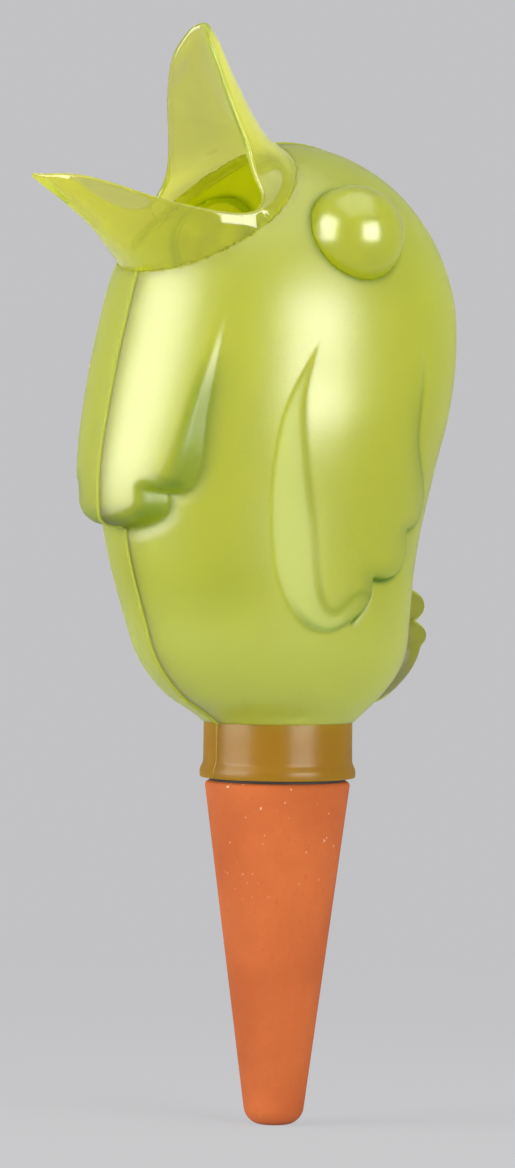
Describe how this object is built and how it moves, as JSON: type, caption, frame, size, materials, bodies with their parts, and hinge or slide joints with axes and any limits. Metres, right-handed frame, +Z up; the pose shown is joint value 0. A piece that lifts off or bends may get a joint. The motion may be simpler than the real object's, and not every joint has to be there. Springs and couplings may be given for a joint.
{
  "type": "plant watering globe",
  "caption": "Bird-shaped plant watering globe: hollow translucent bird with an open beak to fill, on a hollow clay cone for the soil.",
  "frame": {"origin": "tip of the clay cone, on the axis of the neck", "axes": "+Z up along the axis of the cone and neck, the bird faces -Y and its left side is +X"},
  "size_m": [0.0764, 0.1071, 0.2405],
  "materials": {
    "fired_clay": "fired unglazed clay, matt, fine grained",
    "seal_rubber": "soft black rubber",
    "green_plastic": "translucent lime green plastic, satin on the body, polished on the beak and eyes"
  },
  "bodies": {
    "spike": {"clay_cone": "fired_clay", "neck_seal": "seal_rubber"},
    "bird": {"left_shell": "green_plastic", "right_shell": "green_plastic"}
  },
  "joints": [
    {"name": "bird_pull_off", "type": "slide", "parent": "spike", "child": "bird", "axis": [0, 0, 1], "range_m": [0, 0.02]}
  ]
}
